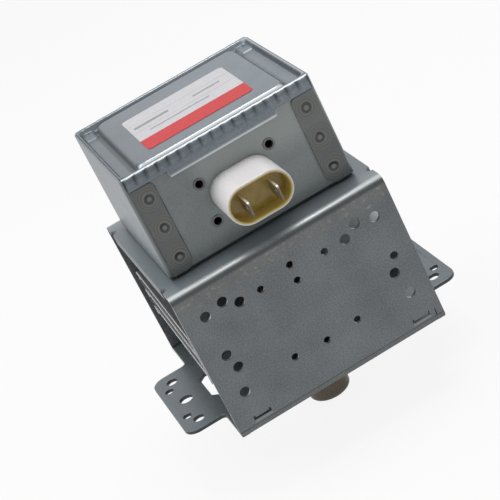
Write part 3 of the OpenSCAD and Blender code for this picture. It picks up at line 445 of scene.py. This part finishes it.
# Terminal shroud and inner case of the capacitor.
# Moulded white thermoset, smooth, a little glossy; the resin has wetted its inner wall.
# The rim is rounded in the mould.
CAP_X = 0.5
CAP_Z = 85.1
SHROUD_W = 26.6
SHROUD_H = 15.8
SHROUD_WALL = 1.3
SHROUD_INNER = SHROUD_H / 2 - SHROUD_WALL
WET_SPAN = (1.15, 0.3)
white_plastic = surface("moulded_white_thermoset", "#ebe8e8", "#f3f1f1", grain=0.8, cloud=20,
                        rough=(0.3, 0.38), bump=0.004)
tree = white_plastic.node_tree
place = add(tree, "ShaderNodeTexCoord").outputs["Object"]
centred = add(tree, "ShaderNodeVectorMath", {0: place, 1: (CAP_X * MM, 0, CAP_Z * MM)}, operation="SUBTRACT")
axes = add(tree, "ShaderNodeSeparateXYZ", {"Vector": centred}).outputs
side = add(tree, "ShaderNodeMath", {0: axes["X"]}, operation="ABSOLUTE")
past = add(tree, "ShaderNodeMath", {0: side, 1: (SHROUD_W - SHROUD_H) / 2 * MM}, operation="SUBTRACT")
past = add(tree, "ShaderNodeMath", {0: past, 1: 0.0}, operation="MAXIMUM")
flat = add(tree, "ShaderNodeCombineXYZ", {"X": past, "Y": axes["Z"]})
reach = add(tree, "ShaderNodeVectorMath", {0: flat}, operation="LENGTH").outputs["Value"]
wet = add(tree, "ShaderNodeMapRange", {"Value": reach, "From Min": (SHROUD_INNER + WET_SPAN[0]) * MM,
                                       "From Max": (SHROUD_INNER + WET_SPAN[1]) * MM})
overlay(white_plastic, wet, "#c6b060")
dress(white_plastic, "capacitor_shroud", "capacitor_case")
soften(0.5, "capacitor_shroud")

# Sealing resin in the shroud.
# Cast amber epoxy, glossy, with a slightly uneven skin.
# It is poured round the blades and climbs the wall.
amber = surface("cast_amber_epoxy", "#9c8232", "#b59a48", grain=3.0, cloud=14, rough=(0.12, 0.22), bump=0.05)
dress(amber, "sealing_resin")

# Two terminal blades.
# Tinned brass strip, blanked, with a chamfered tip and a latch hole.
# The upper edges carry a painted glint and the tips painted shade.
BLADE_TIP = -60.8
BLADE_WIDE = 6.3
BLADE_TOP = CAP_Z + BLADE_WIDE / 2
tinned_brass = surface("tinned_brass_strip", "#857f72", "#a8a294", grain=0.3, cloud=5, rough=(0.3, 0.42),
                       bump=0.008, metallic=0.7)
tree = tinned_brass.node_tree
place = add(tree, "ShaderNodeTexCoord").outputs["Object"]
axes = add(tree, "ShaderNodeSeparateXYZ", {"Vector": place}).outputs
# The tip gets painted shade.
tip = add(tree, "ShaderNodeMapRange", {"Value": axes["Y"], "From Min": (BLADE_TIP + 0.3) * MM,
                                       "From Max": (BLADE_TIP + 0.1) * MM, "To Max": 0.7})
overlay(tinned_brass, tip, "#5d574c")
# The upper edge gets a painted glint.
top = add(tree, "ShaderNodeMapRange", {"Value": axes["Z"], "From Min": (BLADE_TOP - 0.5) * MM,
                                       "From Max": (BLADE_TOP - 0.25) * MM})
overlay(tinned_brass, top, "#fffdf6")
dress(tinned_brass, "terminal_blades")
soften(0.12, "terminal_blades")

# Lid of the filter box.
# Thin galvanised sheet drawn to a tray with a raised panel; its ends fold over the box and are
# crimped in even waves, which leave a wavy rim and soft ribs on the skirts. A tone kept on each vertex paints
# highlights and shade on the rim, the ribs, the panel's edges, the tray and its corners.
LID_TOP = 110.0
LID_SHEET = 0.6
LID_HALF = 39.4
TRAY_FLOOR = 107.4
TRAY_HALF = (39.2, 34.9)
TRAY_ROUND = 3.5
TRAY_WALL = 1.6
PANEL_TOP = 109.8
PANEL_HALF = (33.0, 33.4)
PANEL_ROUND = 5.5
PANEL_SLOPE = 2.4
PANEL_FRONT = PANEL_HALF[1] - PANEL_SLOPE
SKIRT_FACE = 37.15
SKIRT_LOW = 104.5
SKIRT_DEEP = 101.9
SKIRT_MID = 22.6
SKIRT_STEP = 0.7
RIM_ROUND = 1.4
RIM_LOW = LID_TOP - RIM_ROUND
RIM_CREST = 35.9
CRIMP_PITCH = 4.62
CRIMP_START = 2.37
CRIMP_BULGE = 0.7
CRIMP_TOP = 0.3
CRIMP_LOW = 104.8
CRIMP_FADE = 2.4
EDGE_CURL = 0.6
POCKET_X = (32.0, 34.0)
POCKET_Y = 24.8
POCKET_RISE = 0.8
SKIRT_ROWS = 18
RIM_ROWS = 10
# Start, step and number of the mesh's rows and columns, close on the folds and wider on the flats.
TRAY_ROWS = ((35.4, 0.3, 2), (TRAY_HALF[1], 0.12, 34), (30.4, 0.6, 15), (20.9, 2.2, 10))
LID_COLUMNS = ((LID_HALF, 0.11, 22), (36.9, 0.41, 90))


def ease(low, high, value):
    """Smooth rise from 0 at the first bound to 1 at the second."""
    share = min(max((value - low) / (high - low), 0), 1)
    return share * share * (3 - 2 * share)


def outside(x, y, half, round_):
    """Distance outside a rectangle with round corners, negative within it."""
    a = abs(x) - half[0] + round_
    b = abs(y) - half[1] + round_
    return math.hypot(max(a, 0), max(b, 0)) + min(max(a, b), 0) - round_


def crimp(x):
    """Wide ribs between narrow hollows, from 0 in a hollow to 1 on a rib."""
    return 1 - (0.5 + 0.5 * math.cos(2 * math.pi * (x - CRIMP_START) / CRIMP_PITCH)) ** 4


def skirt_point(x, y, z):
    """Place on the rim or a skirt for a place on the lid's section, and its painted light and shade there."""
    v = abs(y)
    bulge = CRIMP_TOP + (1 - CRIMP_TOP) * ease(LID_TOP, RIM_LOW - 1, z)
    curl = 0.0
    step = 0.0
    if z < RIM_LOW:
        step = ease(SKIRT_MID, SKIRT_MID + SKIRT_STEP, abs(x))
        low = SKIRT_DEEP + (SKIRT_LOW - SKIRT_DEEP) * step
        z = RIM_LOW - (RIM_LOW - z) * (RIM_LOW - low) / (RIM_LOW - SKIRT_DEEP)
        curl = ease(low + 1.0, low + 0.3, z)
    folds = ease(CRIMP_LOW, CRIMP_LOW + CRIMP_FADE, z)
    swell = CRIMP_BULGE * bulge * crimp(x) * folds + EDGE_CURL * curl * (1 - 0.8 * step)
    # The crest gets a painted highlight, weaker at the back, with painted shade behind; the face below it
    # falls into painted shade.
    rim = ease(LID_TOP - 0.25, LID_TOP - 0.1, z) * ease(RIM_CREST - 0.25, RIM_CREST, v)
    fall = ease(LID_TOP - 0.15, LID_TOP - 0.6, z)
    tone = (rim if y < 0 else 0.35 * rim) - 0.55 * ease(RIM_CREST - 0.05, RIM_CREST - 0.3, v)
    tone += fall * (0.3 * ease(RIM_LOW, RIM_LOW - 1.5, z) - 0.36 - 0.16 * ease(0, -30, x))
    # The curled edge gets a painted highlight, the hollows painted shade, each rib a painted highlight on its
    # left and painted shade on its right, and both ends painted shade.
    tone += 0.75 * curl * (1 - step) - 0.45 * (1 - crimp(x)) * folds * fall
    tone += 0.3 * (0.5 - (x - CRIMP_START) / CRIMP_PITCH % 1) * folds * fall
    tone -= 0.6 * ease(LID_HALF - 0.6, LID_HALF - 0.2, abs(x)) * fall
    return Vector((x, BOX_Y + math.copysign(v + swell, y), z)), tone


def tray_point(x, y):
    """Place on the tray or its raised panel, and its painted light and shade there."""
    v = abs(y)
    wall = ease(-TRAY_WALL, 0, outside(x, v, TRAY_HALF, TRAY_ROUND))
    inset = outside(x, v, PANEL_HALF, PANEL_ROUND)
    panel = ease(0, -PANEL_SLOPE, inset)
    pocket = ease(POCKET_Y - 0.6, POCKET_Y + 0.6, y) * ease(*POCKET_X, abs(x)) * (1 - wall) * (1 - panel)
    z = TRAY_FLOOR + (LID_TOP - TRAY_FLOOR) * wall
    z += (PANEL_TOP - TRAY_FLOOR) * panel + POCKET_RISE * pocket
    swell = CRIMP_BULGE * CRIMP_TOP * crimp(x) * ease(TRAY_HALF[1] - TRAY_WALL, TRAY_HALF[1], v)
    # The panel's front edge gets a painted highlight over a painted dark foot; its other flanks get painted
    # shade.
    front = ease(PANEL_FRONT - 1.2, PANEL_FRONT, -y)
    edge = ease(-0.7, -1.3, inset) * ease(-2.6, -1.7, inset)
    flank = ease(1.4, 0.4, inset) * ease(-2.6, -1.6, inset)
    tone = 0.85 * edge * front - (0.5 if x < 0 else 0.3) * flank * (1 - front)
    tone -= 0.8 * ease(0.8, 0, abs(inset - 0.1)) * front
    # The tray's wall gets painted shade below a painted highlight on its crest, except at the left; behind
    # the front rim it gets painted shade.
    left = ease(TRAY_HALF[0] - 2, TRAY_HALF[0] - 1.4, -x)
    inner = ease(TRAY_HALF[1] - 1.3, TRAY_HALF[1] - 0.6, -y)
    back = ease(TRAY_HALF[1] - 4, TRAY_HALF[1] - 2, y)
    crest = 0.35 * ease(0.8, 1, wall) - (2 - 1.5 * back) * wall * (1 - wall)
    tone += crest * (1 - 0.8 * left) * (1 - inner) - (0.45 + 0.25 * ease(10, -30, x)) * inner
    # The raised corners get a paler painted step, and the whole left side gets painted shade.
    step = ease(0.7, 0, abs(y - POCKET_Y - 0.4)) * ease(POCKET_X[0] + 0.5, POCKET_X[1], abs(x))
    tone += 0.12 * step * (1 - wall)
    tone -= 0.22 * ease(-10, -36, x)
    return Vector((x, BOX_Y + math.copysign(v + swell, y), z)), tone


def spread(rows):
    """Places from the outside to the middle for rows given as start, step and number."""
    return [start - step * i for start, step, count in rows for i in range(count)]


def piece(name, mesh, material):
    """Make a finished bmesh an object of the scene."""
    data = bpy.data.meshes.new(name)
    mesh.to_mesh(data)
    mesh.free()
    data.materials.append(material)
    made = bpy.data.objects.new(name, data)
    bpy.context.scene.collection.objects.link(made)
    return made


half_section = [(SKIRT_FACE, SKIRT_DEEP + (RIM_LOW - SKIRT_DEEP) * i / SKIRT_ROWS) for i in range(SKIRT_ROWS)]
for i in range(RIM_ROWS):
    a = math.radians(90 / (RIM_ROWS - 1) * i)
    half_section.append((SKIRT_FACE - RIM_ROUND * (1 - math.cos(a)), RIM_LOW + RIM_ROUND * math.sin(a)))
half_section += [(v, LID_TOP) for v in spread(TRAY_ROWS)]
section = [(-v, z) for v, z in half_section] + half_section[::-1]
half_columns = spread(LID_COLUMNS)
columns = [-x for x in half_columns] + half_columns[::-1]
mesh = bmesh.new()
bmesh.ops.create_grid(mesh, x_segments=len(columns) - 1, y_segments=len(section) - 1, size=1)
light_tone = mesh.verts.layers.float.new("light_tone")
for vert in mesh.verts:
    x = columns[round((vert.co.x + 1) / 2 * (len(columns) - 1))]
    y, z = section[round((vert.co.y + 1) / 2 * (len(section) - 1))]
    spot, vert[light_tone] = skirt_point(x, y, z) if abs(y) > TRAY_HALF[1] else tray_point(x, y)
    vert.co = spot * MM
for patch in mesh.faces:
    patch.smooth = True
lid_zinc = surface("galvanised_lid_sheet", "#717a81", "#838c93", grain=0.8, cloud=14, rough=(0.28, 0.36),
                   bump=0.0, metallic=0.55)
tree = lid_zinc.node_tree
# The vertex tone paints shade where it is below zero and highlights where it is above zero.
painted_light = add(tree, "ShaderNodeAttribute", attribute_name="light_tone").outputs["Fac"]
painted_shade = add(tree, "ShaderNodeMapRange", {"Value": painted_light, "From Max": -1.0})
overlay(lid_zinc, painted_shade, "#33383a")
painted_highlight = add(tree, "ShaderNodeMapRange", {"Value": painted_light})
overlay(lid_zinc, painted_highlight, "#e6ebed")
lid = piece("crimped_lid", mesh, lid_zinc)
sheet = lid.modifiers.new("sheet", "SOLIDIFY")
sheet.thickness = LID_SHEET * MM
sheet.offset = -1
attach(lid, "root")
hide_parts("filter_box_lid")

# Label on the raised panel.
# Matt white film with a printed red field along the front, thin grey ruled lines and plain grey bars.
# It is stuck to the lid.
LABEL_TOP = 109.95
LABEL_RED = -9.2
RULES = (10.6, 1.0)
RULE_HALF = 0.14
BARS = ((-14.0, 6.0, 15.0, 2.4), (10.5, 6.0, 12.0, 1.5), (-4.0, -2.8, 26.0, 1.1))
BAR_THICK = 0.02
BAR_LIFT = 0.008
film = surface("matt_white_film", "#c8c7cb", "#d4d3d7", grain=1.2, cloud=20, rough=(0.45, 0.55), bump=0.004)
tree = film.node_tree
place = add(tree, "ShaderNodeTexCoord").outputs["Object"]
axes = add(tree, "ShaderNodeSeparateXYZ", {"Vector": place}).outputs
for rule_y in RULES:
    off = add(tree, "ShaderNodeMath", {0: axes["Y"], 1: rule_y * MM, 2: RULE_HALF * MM}, operation="COMPARE")
    thin = add(tree, "ShaderNodeMath", {0: off, 1: 0.7}, operation="MULTIPLY")
    overlay(film, thin, "#8d8b90")
field = add(tree, "ShaderNodeMath", {0: axes["Y"], 1: LABEL_RED * MM}, operation="LESS_THAN")
overlay(film, field, "#c92c31")
dress(film, "lid_label")
grey_print = surface("grey_print", "#8e8d92", "#a5a4a9", grain=0.3, cloud=3, rough=(0.5, 0.6), bump=0.0)
mesh = bmesh.new()
for x, y, wide, tall in BARS:
    bar = bmesh.ops.create_cube(mesh, size=1)["verts"]
    bmesh.ops.scale(mesh, vec=(wide * MM, tall * MM, BAR_THICK * MM), verts=bar)
    bmesh.ops.translate(mesh, vec=(x * MM, y * MM, (LABEL_TOP + BAR_LIFT) * MM), verts=bar)
bars = piece("label_bars", mesh, grey_print)
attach(bars, "root")

# Studio: pale floor under the antenna, white surround, soft lamps and the camera.
# The camera stands where the photograph was taken and is rolled with it.
# Lamps are large and plain, so that colours render about as written.
FLOOR_Z = -29.6
FLOOR_HALF = 6.0
FLOOR_GLOW = 0.88
SURROUND_LIGHT = 0.4
AZIMUTH = -8.428
ELEVATION = 24.509
ROLL = -27.057
EYE = Vector((-96.935, -629.44, 334.22)) * MM
AIM = Vector((0, 0, 50)) * MM
LENS = 126.714
SENSOR = 36


def seen_directly(tree):
    """1 for what the camera, a shiny surface or a clear one shows, 0 for what only lights the object."""
    path = add(tree, "ShaderNodeLightPath").outputs
    seen = add(tree, "ShaderNodeMath", {0: path["Is Camera Ray"], 1: path["Is Glossy Ray"]},
               operation="MAXIMUM")
    return add(tree, "ShaderNodeMath", {0: seen, 1: path["Is Transmission Ray"]}, operation="MAXIMUM")


mesh = bmesh.new()
bmesh.ops.create_grid(mesh, x_segments=1, y_segments=1, size=FLOOR_HALF)
bmesh.ops.translate(mesh, vec=(0, 0, FLOOR_Z * MM), verts=mesh.verts)
floor_paper = surface("white_paper", "#f4f4f4", "#fafafa", grain=2.0, cloud=40, rough=(0.8, 0.9), bump=0.0)
tree = floor_paper.node_tree
share = add(tree, "ShaderNodeMath", {0: seen_directly(tree), 1: FLOOR_GLOW}, operation="MULTIPLY")
glow = add(tree, "ShaderNodeEmission", {"Color": (1, 1, 1, 1), "Strength": 1.0})
pale = add(tree, "ShaderNodeMixShader", {0: share, 1: tree.nodes["Principled BSDF"], 2: glow})
tree.links.new(pale.outputs[0], tree.nodes["Material Output"].inputs["Surface"])
floor = piece("floor", mesh, floor_paper)

world = bpy.data.worlds.new("studio")
world.use_nodes = True
tree = world.node_tree
backdrop = tree.nodes["Background"]
backdrop.inputs["Color"].default_value = (1, 1, 1, 1)
level = add(tree, "ShaderNodeMapRange", {"Value": seen_directly(tree), "To Min": SURROUND_LIGHT,
                                         "To Max": 1.0})
tree.links.new(level.outputs[0], backdrop.inputs["Strength"])
bpy.context.scene.world = world

view = (Matrix.Rotation(math.radians(AZIMUTH), 3, "Z") @ Matrix.Rotation(math.radians(90 - ELEVATION), 3, "X")
        @ Matrix.Rotation(math.radians(ROLL), 3, "Z"))


def lamp(name, right, up, back, size, power):
    """Square soft lamp placed from the camera's own directions, in metres, and aimed at the object."""
    data = bpy.data.lights.new(name, "AREA")
    data.size = size
    data.energy = power
    made = bpy.data.objects.new(name, data)
    made.location = AIM + view @ Vector((right, up, back))
    made.rotation_euler = (AIM - made.location).to_track_quat("-Z", "Y").to_euler()
    bpy.context.scene.collection.objects.link(made)


lamp("overhead", right=-0.2, up=0.7, back=0.3, size=0.35, power=2.2)
lamp("left", right=-0.8, up=0.35, back=0.3, size=0.6, power=2.4)

camera = bpy.data.objects.new("camera", bpy.data.cameras.new("camera"))
bpy.context.scene.collection.objects.link(camera)
camera.matrix_world = Matrix.Translation(EYE) @ view.to_4x4()
camera.data.lens = LENS
camera.data.sensor_width = SENSOR
bpy.context.scene.camera = camera
bpy.context.scene.view_settings.view_transform = "Standard"
